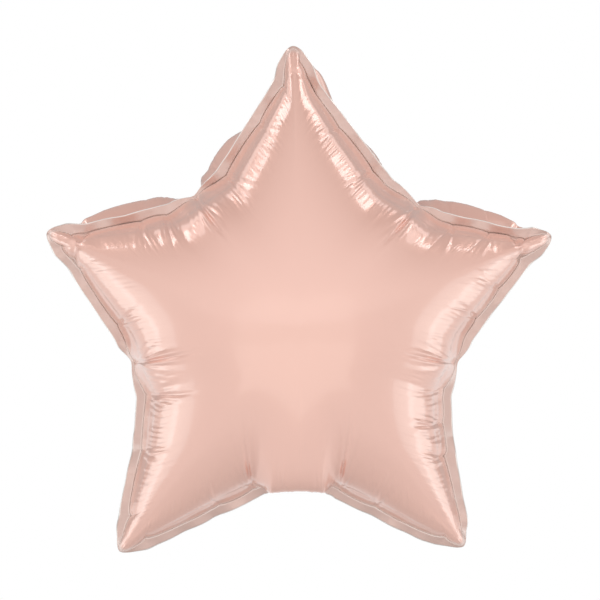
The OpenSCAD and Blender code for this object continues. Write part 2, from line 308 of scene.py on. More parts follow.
class Seam:
    """Columns along the seam, clockwise from the notch before the top point and back to it."""

    # Columns to a flank, and the shares of it where its round tip starts and its round notch ends
    steps = 180
    tip_round = 0.94
    notch_round = 0.035

    def __init__(self, star):
        self.star = star
        sizes = star.sizes
        shares = np.arange(self.steps) / self.steps
        along = (shares, 1 - shares)
        blocks = [(arm, flank, along[flank]) for arm in range(ARMS) for flank in (0, 1)]
        fields = [self.flank_columns(*block) for block in (*blocks, (0, 0, shares[:1]))]
        for name in fields[0]:
            setattr(self, name, np.concatenate([f[name] for f in fields]))
        self.lift = np.minimum(1, self.rear / FULL_LOBE)
        self.line = self.edge - self.out * (self.bow * (1 - self.at_neck))[:, None]
        shift = (sizes.lobe_out * self.puff - sizes.pinch_in * (1 - self.puff)) * (1 + 1.5 * self.tip)
        self.spot = self.line + self.out * (shift * (1 - self.at_neck))[:, None]
        self.run = np.concatenate([[0], np.cumsum(np.linalg.norm(np.diff(self.edge, axis=0), axis=1))])

    def flank_columns(self, arm, flank, share):
        """What is known of each column of one flank, at these shares of the way from notch to point."""
        star = self.star
        at = (arm + flank - 1) % ARMS
        notch, point = star.notches[at], star.points[arm]
        other_notch = star.notches[(arm - flank) % ARMS]
        next_arm = (arm + (1 if flank else -1)) % ARMS
        run = point - notch
        length = np.linalg.norm(run)
        way = run / length
        out = outward(way, flank)
        number = 2 * arm + flank
        # These are the same all along the flank
        whole = {"origin": notch, "way": way, "flat_out": out, "length": length, "by_neck": at == NECK,
                 "flank": number}
        edge = notch + share[:, None] * run
        # The tip and the notch are rounded
        tip = smooth_corner(share, self.tip_round, 1, notch + self.tip_round * run, point,
                            other_notch + self.tip_round * (point - other_notch))
        edge = np.where((share > self.tip_round)[:, None], tip, edge)
        low = self.notch_round
        nook = smooth_corner(-share, -low, 0, notch + low * run, notch,
                             notch + low * (star.points[next_arm] - notch))
        edge = np.where((share < low)[:, None], nook, edge)
        # The way out turns straight away from the middle at the tip and at the notch
        outs = np.tile(out, (len(share), 1))
        outs = outs + smooth(share, 0.9, 1)[:, None] * (unit(point - star.middle) - out)
        outs = outs + smooth(-share, -0.08, 0)[:, None] * (unit(notch - star.middle) - out)
        stops = [0] + [pinch[0] for pinch in PINCHES[arm][flank]]
        puff = np.zeros(len(share))
        for low_stop, high_stop in zip(stops, stops[1:]):
            there = (share >= low_stop) & (share < high_stop)
            bow = np.sin(np.pi * (share - low_stop) / (high_stop - low_stop))
            puff = np.where(there, np.maximum(bow, 0) ** LOBE_SQUARE, puff)
        bow = np.sin(np.pi / 2 * (share - stops[-1]) / (1 - stops[-1]))
        puff = np.where(share >= stops[-1], np.maximum(bow, 0) ** LOBE_SQUARE, puff)
        at_neck, tucked, neck_share = np.zeros((3, len(share)))
        if at == NECK:
            edge[:, 1] = np.where(share < stops[1], np.minimum(edge[:, 1], 0), edge[:, 1])
            edge[:, 0] = np.where(share < low, share * run[0], edge[:, 0])
            at_neck = 1 - smooth(share, 0.75 * stops[1], 1.05 * stops[1])
            tucked = 1 - smooth(share, 0.4 * stops[1], 0.8 * stops[1])
            neck_share = np.clip(share / (0.7 * stops[1]), 0, 1)
            bow = np.cos(np.pi / 2 * np.clip(share / stops[1], 0, 1))
            puff = np.where(share < stops[1], bow ** 0.3, puff)
            outs = outs + smooth(-share, -stops[1], -0.5 * stops[1])[:, None] * (np.array([0, -1]) - outs)
        return {
            "share": share, "edge": edge, "out": unit(outs), "puff": puff, "at_neck": at_neck,
            "tucked": tucked, "neck_share": neck_share, "tip": smooth(share, stops[-1] - 0.08, stops[-1]),
            "bow": seam_bow(share, SEAM_BOW[arm][flank], number in TILTED_FLANKS),
            "ridge": star.middle + 0.96 * share[:, None] * (point - star.middle),
            "rear": rear_lobes(share, REAR_STAND[arm][flank], REAR_LOBES[arm][flank]),
            **{name: np.array([value] * len(share)) for name, value in whole.items()},
        }


def seam_bow(share, reach, tilted):
    """How far the seam bows in at each share of a flank."""
    fade = 1 - smooth(share, *(TILTED_FADE if tilted else BOW_FADE))
    return reach * MM * smooth(share, 0, 0.2) * fade * (1 - smooth(share, 0.9, 1))


def rear_lobes(share, stand, lobes):
    """How far the rear film stands out past the seam at each share of a flank."""
    out = np.zeros(len(share))
    base = stand * MM * smooth(share, 0, 0.15) * (1 - smooth(share, 0.75, 1))
    for start, end, fullest, reach in lobes:
        along = np.clip((share - start) / (end - start), 0, 1)
        bow = np.sin(np.pi * along ** (math.log(0.5) / math.log(fullest)))
        out = np.maximum(out, reach * MM * np.maximum(bow, 0) ** 0.8)
    return base + out


def smooth_corner(value, low, high, start, corner, end):
    """A round corner, as far as its middle, for values from low to high."""
    u = 0.5 * np.clip((value - low) / (high - low), 0, 1)[:, None]
    return (1 - u) ** 2 * start + 2 * u * (1 - u) * corner + u ** 2 * end


# Wrinkles of the film, as heights over the star's plane

def crease_height(spots, start, way, reach, depth, width):
    """A valley with a raised lip on each side, which runs in from the seam and fades out."""
    away = spots - start
    along = away @ way
    across = np.abs(away @ np.array([-way[1], way[0]]))
    fade = np.clip(1 - along / reach, 0, 1) ** 1.2 * smooth(along, 1 * MM, 0.3 * reach)
    wide = width + 0.015 * np.maximum(along, 0)
    valley = np.exp(-(across / wide) ** 2)
    lips = 0.6 * np.exp(-((across - 2.2 * wide) / (1.1 * wide)) ** 2)
    return depth * fade * (lips - valley)


# Depth in millimetres of the main crease at a pinch and at a notch. A pinch's crease shorter than this is
# shallower.
PINCH_DEPTH = 2.2
NOTCH_DEPTH = 3.0
FULL_CREASE = 30

# Folds that fan out from a pinch: turn in degrees, share of the main crease's reach, share of its depth
FAN = ((0, 1, 1), (15, 0.72, 0.4), (-13, 0.8, 0.45), (31, 0.5, 0.3), (-29, 0.55, 0.3))


def creases(star, spots):
    """Height of the creases that run in from the pinches and the notches."""
    height = np.zeros(spots.shape[:-1])
    starts = []
    for arm in range(ARMS):
        for flank in (0, 1):
            notch = star.notches[(arm + flank - 1) % ARMS]
            run = star.points[arm] - notch
            inward = -outward(unit(run), flank)
            for share, reach, slant in PINCHES[arm][flank]:
                depth = PINCH_DEPTH * min(1, reach / FULL_CREASE)
                starts.append((notch + share * run, turn_way(inward, slant), reach, depth))
    for notch, reach in zip(star.notches, NOTCH_REACH):
        if reach:
            starts.append((notch, unit(star.middle - notch), reach, NOTCH_DEPTH))
    for start, inward, reach, depth in starts:
        for turn, length, deep in FAN:
            args = (reach * length * MM, depth * deep * MM, (0.7 + 0.4 * deep) * MM)
            height += crease_height(spots, start, turn_way(inward, turn), *args)
    return height


def waists(star, spots):
    """Height of the valleys that run across an arm behind its round end."""
    height = np.zeros(spots.shape[:-1])
    for arm, share, depth, width in WAISTS:
        axis = star.points[arm] - star.middle
        length = np.linalg.norm(axis)
        along = (spots - star.middle) @ (axis / length)
        height -= depth * MM * np.exp(-((along - share * length) / (width * MM)) ** 2)
    return height


# Spindles, in millimetres, each from a lowest to a highest value: the step from one to the next, half their
# length, how far in from the seam their middle lies, and their width
SPINDLE_STEP = (3.0, 5.2)
SPINDLE_REACH = (8, 12)
SPINDLE_DEEP = (14, 19)
SPINDLE_WIDTH = (1.0, 1.5)

# Their height far from a pinch and at one, the share by which it varies, and how far a pinch is felt
SPINDLE_LOW = 0.40
SPINDLE_HIGH = 0.85
SPINDLE_VARY = (0.5, 1.15)
PINCH_FELT = 11


def spindles(seam, spots, seed):
    """Fine folds square to the seam, longest and highest beside the pinches, on the roll of the film."""
    away = spots - seam.origin
    x = (away * seam.way).sum(-1)
    t = -(away * seam.flat_out).sum(-1)
    height = np.zeros(x.shape)
    for flank in range(2 * ARMS):
        rng = np.random.default_rng((seed, flank))
        here = np.broadcast_to(seam.flank == flank, x.shape)
        fx, ft = x[here], t[here]
        length = seam.length[np.argmax(seam.flank == flank)]
        pinched = np.array([0] + [share for share, _, _ in PINCHES[flank // 2][flank % 2]]) * length
        calm = CALM if flank in CALM_FLANKS else 1
        total = np.zeros(fx.shape)
        at = 3 * MM
        while at < 0.93 * length:
            gap = at - pinched[np.argmin(np.abs(at - pinched))]
            near = math.exp(-(gap / (PINCH_FELT * MM)) ** 2)
            room = min(1, 1.7 * (1 - at / length) + 0.15)
            reach = (rng.uniform(*SPINDLE_REACH) + 6 * near) * room * MM
            deep = (rng.uniform(*SPINDLE_DEEP) + 3 * near) * room * MM
            slant = np.sign(gap) * rng.uniform(0, 0.3) * (0.4 + near) + rng.uniform(-0.06, 0.06)
            width = rng.uniform(*SPINDLE_WIDTH) * MM
            low = SPINDLE_LOW * calm
            tall = (low + (SPINDLE_HIGH - low) * near) * rng.uniform(*SPINDLE_VARY) * room * MM
            along = (ft - deep) / reach
            across = (fx - at - slant * (ft - deep)) / (width * (1 - 0.35 * np.clip(along, -1, 1)))
            total += tall * np.exp(-across ** 2) * np.maximum(1 - along ** 2, 0) ** 1.5
            at += rng.uniform(*SPINDLE_STEP) * MM
        height[here] = total
    return height


def row_insets(reach, v):
    """How far in from the seam each row lies: close together there, and wider apart towards the ridge."""
    pull = np.linspace(0.01, 8, 400)
    bend = np.interp(-ROW_SPREAD / np.maximum(reach, 1e-6), -pull / np.sinh(pull), pull)
    return reach * np.sinh(bend * (1 - v)) / np.sinh(bend)


def panel_vertices(star, seam, side, u, v):
    """Where each vertex of a panel's grid lies. u counts columns and v runs from ridge to seam."""
    sizes = star.sizes
    ridge, edge, line, spot = seam.ridge[u], seam.edge[u], seam.line[u], seam.spot[u]
    reach = np.linalg.norm(line - ridge, axis=-1)
    inset = row_insets(reach, v)
    share = 1 - inset / np.maximum(reach, 1e-6)
    row = share[..., None]
    plane = ridge + row * (edge - ridge)
    if side == FRONT:
        hang = sizes.neck_middle + (sizes.neck_side - sizes.neck_middle) * seam.neck_share[u] ** 2
        lift = seam.at_neck[u] * seam.puff[u]
        lobe = hang * lift
    else:
        lobe = seam.rear[u]
        lift = seam.lift[u]
    stand_out = (lobe + inset * lift) * np.sin(np.pi * share ** LOBE_TURN)
    straight = ridge + row * (line - ridge)
    shifted = straight + row ** 3 * (spot - line) + stand_out[..., None] * seam.out[u]
    high = star.swell(plane) - share ** 3 * star.swell(edge)
    place = np.stack([shifted[..., 0], side * high, shifted[..., 1]], -1)
    return place, plane, share, inset


# An arm wider than this has its folds at full height
WIDE_ARM = 45 * MM

# The rear film is drawn smooth where it stands clear of the seam, and loses this share of its folds
REAR_LOSS = 0.75


def panel_folds(star, seam, side, seed, u, plane, share, inset):
    """Height of the creases, spindles, groove and waists of a panel, none of it on the seam itself."""
    wide = np.minimum(1, star.half_width(plane) / WIDE_ARM)
    fine = spindles(seam, plane, seed) * smooth(share, 0.02, 0.35)
    groove = np.exp(-((inset / MM - WALL_EDGE * (0.35 + 0.65 * wide)) / GROOVE_WIDTH) ** 2)
    groove = -WALL_GROOVE * MM * groove * seam.puff[u] * (1 - seam.at_neck[u])
    folds = creases(star, plane) * smooth(inset, 0.5 * MM, 7 * MM)
    height = (folds + fine + groove) * wide
    if side == REAR:
        height *= 1 - REAR_LOSS * seam.lift[u]
    height += waists(star, plane)
    return height * (1 - smooth(share, 0.985, 1))


# Making of film pieces: a grid is added, its vertices are moved, and it gets its thickness

def add_grid(name, columns, rows):
    """Add a grid, and give each vertex's share of the way across it and along it."""
    bpy.ops.object.select_all(action="DESELECT")
    bpy.ops.mesh.primitive_grid_add(x_subdivisions=columns, y_subdivisions=rows, size=1)
    piece = bpy.context.object
    piece.name = piece.data.name = name
    flat = np.empty(3 * len(piece.data.vertices))
    piece.data.vertices.foreach_get("co", flat)
    shares = flat.reshape(-1, 3) + 0.5
    return piece, shares[:, 0], shares[:, 1]


def move_vertices(piece, places):
    piece.data.vertices.foreach_set("co", places.ravel())
    piece.data.update()


def keep(piece, name, values):
    """Keep a number or a vector at each vertex, which the piece's finish reads."""
    kind, field = ("FLOAT_VECTOR", "vector") if values.ndim == 2 else ("FLOAT", "value")
    attribute = piece.data.attributes.new(name, kind, "POINT")
    attribute.data.foreach_set(field, values.ravel())


@contextmanager
def whole_mesh():
    """Edit mode on the active piece, with all of its mesh selected."""
    bpy.ops.object.mode_set(mode="EDIT")
    bpy.ops.mesh.select_all(action="SELECT")
    yield
    bpy.ops.object.mode_set(mode="OBJECT")


def thicken(piece, name, thickness, offset):
    wall = piece.modifiers.new(name, "SOLIDIFY")
    wall.thickness = thickness
    wall.offset = offset
    bpy.ops.object.modifier_apply(modifier=wall.name)


# Rows of vertices across a panel and across the rim
PANEL_ROWS = 26
RIM_ROWS = 6

# Vertices nearer than this are one
MERGE = 0.02 * MM

# Share of the fine gathers that only stands beside a pinch
BY_PINCH = 0.3


def film_panel(name, star, seam, side, seed):
    """One film of the star, on a grid from its ridges out to the seam."""
    columns = len(seam.share) - 1
    panel, x, y = add_grid(name, columns, PANEL_ROWS)
    order = np.rint(y * PANEL_ROWS).astype(int) * (columns + 1) + np.rint(x * columns).astype(int)
    u, v = np.meshgrid(np.arange(columns + 1), np.linspace(0, 1, PANEL_ROWS + 1))
    place, plane, share, inset = panel_vertices(star, seam, side, u, v)
    loop = np.concatenate([place[:, -2:-1], place, place[:, 1:2]], 1)
    along = loop[:, 2:] - loop[:, :-2]
    normal = unit(np.cross(along, np.gradient(place, axis=0)))
    if (normal[..., 1] * side).mean() < 0:
        normal = -normal
    place = place + normal * panel_folds(star, seam, side, seed, u, plane, share, inset)[..., None]
    move_vertices(panel, place.reshape(-1, 3)[order])
    # For the finish: the place round the star and in from the seam, how gathered the film is, and its painted
    # highlight by the weld
    wheel = seam.run[-1] / (2 * np.pi)
    around = 2 * np.pi * seam.run[u] / seam.run[-1]
    flank_place = np.stack([wheel * np.cos(around), wheel * np.sin(around), inset], -1)
    calm = np.where(np.isin(seam.flank, CALM_FLANKS), CALM, 1)[u]
    by_pinch = np.exp(-seam.puff[u] ** 2 / 0.15)
    gather = ((1 - BY_PINCH) * calm + BY_PINCH * by_pinch) * smooth(share, 0.1, 0.45)
    # Painted highlight: the film is drawn paler along the weld
    painted_highlight = WELD_HIGHLIGHT_SHARE * np.exp(-(inset / WELD_HIGHLIGHT_REACH) ** 2)
    keep(panel, "flank_place", flank_place.reshape(-1, 3)[order])
    keep(panel, "gather", gather.ravel()[order])
    keep(panel, "weld_highlight", painted_highlight.ravel()[order])
    with whole_mesh():
        bpy.ops.mesh.remove_doubles(threshold=MERGE)
        bpy.ops.mesh.normals_make_consistent(inside=False)
    if side * sum(p.normal.y * p.area for p in panel.data.polygons) < 0:
        with whole_mesh():
            bpy.ops.mesh.flip_normals()
    bpy.ops.object.shade_smooth()
    thicken(panel, "film", star.sizes.film, -1)
    return panel


# Lean of the rim in degrees: back, further back on the tilted flanks, forward over a full lobe, either way
# in its waves, and back where it is tucked in at the neck
RIM_BACK = 24
RIM_TILT = 17
RIM_FORWARD = 18
RIM_WAVER = 5
RIM_TUCK = 80

# Share of its width that the rim keeps round a point and in a notch
RIM_AT_POINT = 0.45
RIM_AT_NOTCH = 0.18

# Lengths of the rim's waves, height of its ripples, depth of its weld, how far it starts inside the seam, its
# gap at the neck to each side, and the seed of its waves
RIM_WAVES = (31 * MM, 47 * MM, 83 * MM)
RIM_RIPPLE = 0.05 * MM
RIM_WELD = 0.12 * MM
RIM_UNDER = 0.4 * MM
NECK_GAP = 15 * MM
RIM_SEED = 11


def wave(along, length, phase=0):
    return np.sin(2 * np.pi * along / length + phase)


def rim_strip(star, seam):
    """The welded rim, which starts and stops on either side of the tail."""
    sizes = star.sizes
    columns_all = len(seam.share) - 1
    clear = np.abs(seam.edge[:-1, 0]) < NECK_GAP
    clear &= seam.at_neck[:-1] > 0
    gap = np.where(clear)[0]
    order = (np.arange(gap[-1] + 1, gap[-1] + 1 + columns_all - len(gap))) % columns_all
    columns = len(order) - 1
    rim, x, r = add_grid("welded_rim", columns, RIM_ROWS)
    c = order[np.rint(x * columns).astype(int)]
    rng = np.random.default_rng(RIM_SEED)
    run = np.concatenate([[0], np.cumsum(np.linalg.norm(np.diff(seam.spot, axis=0), axis=1))])
    waves = sum(wave(run, length, rng.uniform(0, 6.3)) for length in RIM_WAVES)
    tilted = smooth(seam.share, 0.03, 0.1) * (1 - smooth(seam.share, 0.34, 0.45))
    tilted = np.isin(seam.flank, TILTED_FLANKS) * tilted
    back = (RIM_BACK + RIM_TILT * tilted) * (1 - seam.lift)
    lean = np.radians(RIM_WAVER * waves * (1 - tilted) + back - RIM_FORWARD * seam.lift)
    lean = lean * (1 - seam.tucked) + math.radians(RIM_TUCK) * seam.tucked
    wide = 1 - (1 - RIM_AT_POINT) * smooth(seam.share, 0.84, 0.97)
    by_notch = RIM_AT_NOTCH + (1 - RIM_AT_NOTCH) * smooth(seam.share, 0, 0.16)
    wide = wide * np.where(seam.by_neck, 1, by_notch)
    spot = seam.spot[c] + r[:, None] * (seam.line[c] - seam.spot[c])
    reach = -RIM_UNDER + (sizes.rim_width * wide[c] + RIM_UNDER) * r
    ripple = RIM_RIPPLE * waves[c] * r * (1 - seam.at_neck[c])
    weld = RIM_WELD * np.exp(-((r - 0.16) / 0.05) ** 2)
    level = ripple - weld
    cos, sin = np.cos(lean[c]), np.sin(lean[c])
    in_plane = spot + seam.out[c] * (reach * cos - level * sin)[:, None]
    move_vertices(rim, np.stack([in_plane[:, 0], reach * sin + level * cos, in_plane[:, 1]], -1))
    keep(rim, "rim_share", r)
    bpy.ops.object.shade_smooth()
    thicken(rim, "fused films", 2 * sizes.film, 0)
    with whole_mesh():
        bpy.ops.mesh.normals_make_consistent(inside=False)
    return rim


def film_strip(name, upright, width, start, end, corner, film, level):
    """A strip of film with a rounded far end, which runs back from the neck, or up from it.

    level gives its height over its own plane at each place across and along it.
    """
    strip, x, y = add_grid(name, round(width / MM), round((end - start) / MM))
    along = start + y * (end - start)
    to_end = np.clip((along - end + corner) / corner, 0, 1)
    across = (x - 0.5) * (width - 2 * corner * (1 - np.sqrt(1 - to_end ** 2)))
    height = level(across, along)
    move_vertices(strip, np.stack([across, height, along] if upright else [across, along, height], -1))
    bpy.ops.object.shade_smooth()
    thicken(strip, "film", film, 0)
    with whole_mesh():
        bpy.ops.mesh.normals_make_consistent(inside=False)
    return strip


def punch(strip, place, diameter):
    """Cut a round hole down through a strip."""
    bpy.ops.object.select_all(action="DESELECT")
    bpy.ops.mesh.primitive_cylinder_add(vertices=48, radius=diameter / 2, depth=20 * MM, location=place)
    tool = bpy.context.object
    bpy.ops.object.select_all(action="DESELECT")
    bpy.context.view_layer.objects.active = strip
    strip.select_set(True)
    cut = strip.modifiers.new("hole", "BOOLEAN")
    cut.object = tool
    cut.operation = "DIFFERENCE"
    bpy.ops.object.modifier_apply(modifier=cut.name)
    bpy.data.objects.remove(tool)


# The tail is folded straight back below the neck. Its films part over the valve and meet in the welds.
TAIL_LEVEL = -1.8 * MM
TAIL_HOLE_INSET = 12 * MM
TAIL_START = 0.5 * MM

# The tail's welds: how far from its middle they start and are full, and where along it they fade out
TAIL_WELD = (10.6 * MM, 12.2 * MM)
TAIL_WELD_END = (60 * MM, 68 * MM)

# How far each of the tail's films stands from its level, free and welded, and its waves' height and lengths
TAIL_APART = 0.6 * MM
TAIL_WELDED = 0.1 * MM
TAIL_WAVE = 0.12 * MM
TAIL_WAVES = (23 * MM, 9 * MM)

# The valve's plies: half the gap between their middles in the tail and in the star, where a leaf starts and
# ends, how thick they are drawn, their waves' height and length, and the round of a film's free corners
MOUTH_APART = 0.16 * MM
LEAF_APART = 0.225 * MM
LEAF_START = 1 * MM
LEAF_END = 96 * MM
PLY_FILM = 0.12 * MM
PLY_WAVE = 0.03 * MM
PLY_WAVES = 31 * MM
MOUTH_CORNER = 0.1 * MM
END_CORNER = 5 * MM


def belly(across, width):
    """Fall from 1 in the middle of a strip to 0 at its sides."""
    return np.maximum(1 - (2 * across / width) ** 2, 0)


def tail_level(side, phase, width):
    """Height of one of the tail's films, which waves a little between its welds."""
    def level(across, along):
        welded = smooth(np.abs(across), *TAIL_WELD) * (1 - smooth(along, *TAIL_WELD_END))
        waves = wave(along, TAIL_WAVES[0], phase) + 0.5 * wave(along, TAIL_WAVES[1])
        free = TAIL_APART + TAIL_WAVE * waves * belly(across, width)
        return TAIL_LEVEL + side * (free + welded * (TAIL_WELDED - free))
    return level


def ply_level(middle, side, width):
    """Height of one of the valve's plies, which waves a little along it."""
    def level(across, along):
        return middle + side * PLY_WAVE * wave(along, PLY_WAVES) * belly(across, width)
    return level


# Finishes, with the roughness of the foil and of the fused rim

FOIL_ROUGHNESS = 0.28
RIM_ROUGHNESS = 0.30


def new_finish(name):
    material = bpy.data.materials.new(name)
    material.use_nodes = True
    tree = material.node_tree
    return material, tree, tree.nodes["Principled BSDF"]


def feed(tree, socket, source):
    """Link a node's output to a socket, or set a number or a colour on it."""
    if isinstance(source, bpy.types.NodeSocket):
        tree.links.new(source, socket)
    else:
        socket.default_value = (*source, 1) if socket.type == "RGBA" else source


def feed_all(tree, node, **inputs):
    """Feed a node's inputs, whose names have _ for a space."""
    for key, source in inputs.items():
        feed(tree, node.inputs[key.replace("_", " ")], source)


def add_node(tree, kind, **inputs):
    """Add a node and feed its inputs."""
    node = tree.nodes.new(kind)
    feed_all(tree, node, **inputs)
    return node


def vertex_values(tree, name):
    """What is kept under this name at the piece's vertices."""
    node = tree.nodes.new("ShaderNodeAttribute")
    node.attribute_name = name
    return node.outputs


def noise(tree, scale, detail, roughness=0.5):
    """Noise that keeps its place on the piece."""
    place = add_node(tree, "ShaderNodeTexCoord").outputs["Object"]
    node = add_node(
        tree, "ShaderNodeTexNoise", Vector=place, Scale=scale, Detail=detail, Roughness=roughness)
    return node.outputs["Fac"]


def math_result(tree, operation, *sources):
    """A Math node's result from these outputs or numbers."""
    node = tree.nodes.new("ShaderNodeMath")
    node.operation = operation
    for socket, source in zip(node.inputs, sources):
        feed(tree, socket, source)
    return node.outputs[0]


def map_range(tree, value, low, high, first, last):
    """A value from low to high, mapped to go from first to last."""
    node = add_node(
        tree, "ShaderNodeMapRange", Value=value, From_Min=low, From_Max=high, To_Min=first, To_Max=last)
    return node.outputs["Result"]


def mix_colours(tree, share, first, second):
    """Mix two colours, each a colour or a node's output, by an output."""
    mix = tree.nodes.new("ShaderNodeMix")
    mix.data_type = "RGBA"
    feed(tree, mix.inputs["Factor"], share)
    feed(tree, mix.inputs["A"], first)
    feed(tree, mix.inputs["B"], second)
    return mix.outputs["Result"]


def foil_finish(name, main, deep, painted_highlight, roughness):
    """Satin metallised film: soft metal under a clear skin, with fine gathers in from the seam.

    A painted highlight makes it paler along the weld.
    """
    material, tree, shader = new_finish(name)
    foil = mix_colours(tree, noise(tree, 9.0, 2.0, 0.45), main, deep)
    # Painted highlight along the weld, in the pale colour
    foil = mix_colours(tree, vertex_values(tree, "weld_highlight")["Fac"], foil, painted_highlight)
    grain = add_node(
        tree, "ShaderNodeBump", Height=noise(tree, 120.0, 3.0), Strength=0.06, Distance=0.6 * MM)
    gathers = add_node(
        tree, "ShaderNodeBump", Height=gather_height(tree), Normal=grain.outputs["Normal"],
        Strength=1.0, Distance=1.4 * MM)
    feed_all(
        tree, shader, Base_Color=foil, Normal=gathers.outputs["Normal"], Roughness=roughness,
        Metallic=0.3, Coat_Weight=1.0, Coat_IOR=2.0, Coat_Roughness=0.1)
    return material


def gather_height(tree):
    """Fine folds square to the seam, which rise behind it, are highest by a pinch and fade on the face."""
    place = vertex_values(tree, "flank_place")["Vector"]
    gather = vertex_values(tree, "gather")["Fac"]
    inset = add_node(tree, "ShaderNodeSeparateXYZ", Vector=place).outputs["Z"]
    stretched = add_node(tree, "ShaderNodeMapping", Vector=place, Scale=(210, 210, 22)).outputs["Vector"]
    folds = add_node(
        tree, "ShaderNodeTexNoise", Vector=stretched, Scale=1.0, Detail=1.5, Roughness=0.5)
    rise = map_range(tree, inset, 8 * MM, 16 * MM, 0, 1)
    fade = map_range(tree, inset, 20 * MM, 50 * MM, 1, 0)
    height = folds.outputs["Fac"]
    for mask in (rise, fade, gather):
        height = math_result(tree, "MULTIPLY", height, mask)
    return height


def rim_finish(name, main, painted_highlight_colour):
    """The foil of the fused rim, drawn darker than the film's as painted shade, with a painted highlight in a
    pale colour on its outer edge and along its weld.
    """
    material = foil_finish(name, main, [0.95 * c for c in main], painted_highlight_colour, RIM_ROUGHNESS)
    tree = material.node_tree
    shader = tree.nodes["Principled BSDF"]
    foil = shader.inputs["Base Color"].links[0].from_socket
    # Painted highlights: pale by the weld at the rim's inner edge, and fully pale on its outer edge
    ramp = add_node(tree, "ShaderNodeValToRGB", Fac=vertex_values(tree, "rim_share")["Fac"])
    stops = ramp.color_ramp.elements
    stops[0].color = (WELD_HIGHLIGHT_SHARE, WELD_HIGHLIGHT_SHARE, WELD_HIGHLIGHT_SHARE, 1)
    for position, level in ((0.08, WELD_HIGHLIGHT_SHARE), (0.20, 0.0), (0.90, 0.0), (0.94, 1.0)):
        stops.new(position).color = (level, level, level, 1)
    feed_all(tree, shader, Base_Color=mix_colours(tree, ramp.outputs["Color"], foil, painted_highlight_colour))
    return material


def valve_finish(name, clear):
    """Clear polyethylene with a faint haze."""
    material, tree, shader = new_finish(name)
    sheen = map_range(tree, noise(tree, 60.0, 2.0), 0, 1, 0.18, 0.34)
    feed_all(tree, shader, Base_Color=clear, Roughness=sheen, Alpha=0.55)
    return material


def release_finish(name, ink):
    """Matt, fine-grained ink."""
    material, tree, shader = new_finish(name)
    inked = mix_colours(tree, noise(tree, 900.0, 2.0), [0.9 * c for c in ink], ink)
    feed_all(tree, shader, Base_Color=inked, Roughness=0.7)
    return material


def give(piece, material):
    piece.data.materials.clear()
    piece.data.materials.append(material)


def dress(piece, finish, body, node):
    """Give a new piece its finish, let it ride on its body and let it stand for its CAD node."""
    give(piece, finish)
    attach(piece, body)
    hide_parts(node)


_made = {}


def shared(sizes):
    """The star, its seam and the foil, which several pieces share."""
    if not _made:
        colours = bpy.context.scene.balloon_colours
        _made["star"] = Star(sizes)
        _made["seam"] = Seam(_made["star"])
        _made["foil"] = foil_finish(
            "satin_foil", colours.foil, colours.foil_deep, colours.painted_highlight_colour, FOIL_ROUGHNESS)
        _made["rim"] = rim_finish("fused_foil", colours.rim, colours.painted_highlight_colour)
    return _made


# Seeds of the two films' spindles
FRONT_SEED = 3
REAR_SEED = 8


def make_film(context, name, side, seed, node):
    """Make one film of the star, in foil."""
    made = shared(context.scene.balloon_sizes)
    film = film_panel(name, made["star"], made["seam"], side, seed)
    dress(film, made["foil"], "envelope", node)


class BALLOON_OT_front_film(bpy.types.Operator):
    """Make the front film panel."""

    bl_idname = "balloon.front_film"
    bl_label = "Front film"

    def execute(self, context):
        make_film(context, "front_film", FRONT, FRONT_SEED, "front_panel")
        return {"FINISHED"}


class BALLOON_OT_rear_film(bpy.types.Operator):
    """Make the rear film panel."""

    bl_idname = "balloon.rear_film"
    bl_label = "Rear film"

    def execute(self, context):
        make_film(context, "rear_film", REAR, REAR_SEED, "rear_panel")
        return {"FINISHED"}


class BALLOON_OT_rim(bpy.types.Operator):
    """Make the welded rim."""

    bl_idname = "balloon.rim"
    bl_label = "Welded rim"

    def execute(self, context):
        made = shared(context.scene.balloon_sizes)
        rim = rim_strip(made["star"], made["seam"])
        dress(rim, made["rim"], "envelope", "seal_rim")
        return {"FINISHED"}


class BALLOON_OT_tail(bpy.types.Operator):
    """Make the two films of the filling tail, with their tie hole."""

    bl_idname = "balloon.tail"
    bl_label = "Filling tail"

    def execute(self, context):
        sizes = context.scene.balloon_sizes
        made = shared(sizes)
        for name, side, phase in (("tail_front_film", -1, 0.4), ("tail_rear_film", 1, 2.1)):
            film = film_strip(
                name.replace("_film", "_sheet"), False, sizes.tail_width, TAIL_START, sizes.tail_length,
                END_CORNER, sizes.film, tail_level(side, phase, sizes.tail_width))
            punch(film, (0, sizes.tail_length - TAIL_HOLE_INSET, TAIL_LEVEL), sizes.tie_hole)
            dress(film, made["foil"], "tail", name)
        return {"FINISHED"}


class BALLOON_OT_valve(bpy.types.Operator):
    """Make the valve's clear plies, in the tail and inside the star, and finish its release print."""

    bl_idname = "balloon.valve"
    bl_label = "Valve"

    def execute(self, context):
        sizes = context.scene.balloon_sizes
        colours = context.scene.balloon_colours
        clear = valve_finish("clear_valve_film", colours.valve)
        mouth_end = sizes.tail_length - 2 * TAIL_HOLE_INSET
        mouth = (False, TAIL_START, mouth_end, MOUTH_CORNER)
        leaf = (True, LEAF_START, LEAF_END, END_CORNER)
        plies = (
            ("valve_mouth_front", "tail", mouth, TAIL_LEVEL - MOUTH_APART, -1),
            ("valve_mouth_rear", "tail", mouth, TAIL_LEVEL + MOUTH_APART, 1),
            ("valve_leaf_front", "front_leaf", leaf, -LEAF_APART, -1),
            ("valve_leaf_rear", "rear_leaf", leaf, LEAF_APART, 1),
        )
        for node, body, (upright, start, end, corner), middle, side in plies:
            ply = film_strip(
                node + "_ply", upright, sizes.valve_width, start, end, corner, PLY_FILM,
                ply_level(middle, side, sizes.valve_width))
            dress(ply, clear, body, node)
        give(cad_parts["release_strip"], release_finish("release_print", colours.release))
        return {"FINISHED"}


WHITE = (1, 1, 1)
COOL = (0.7, 0.95, 1.0)
WARM = (1.0, 0.97, 0.88)

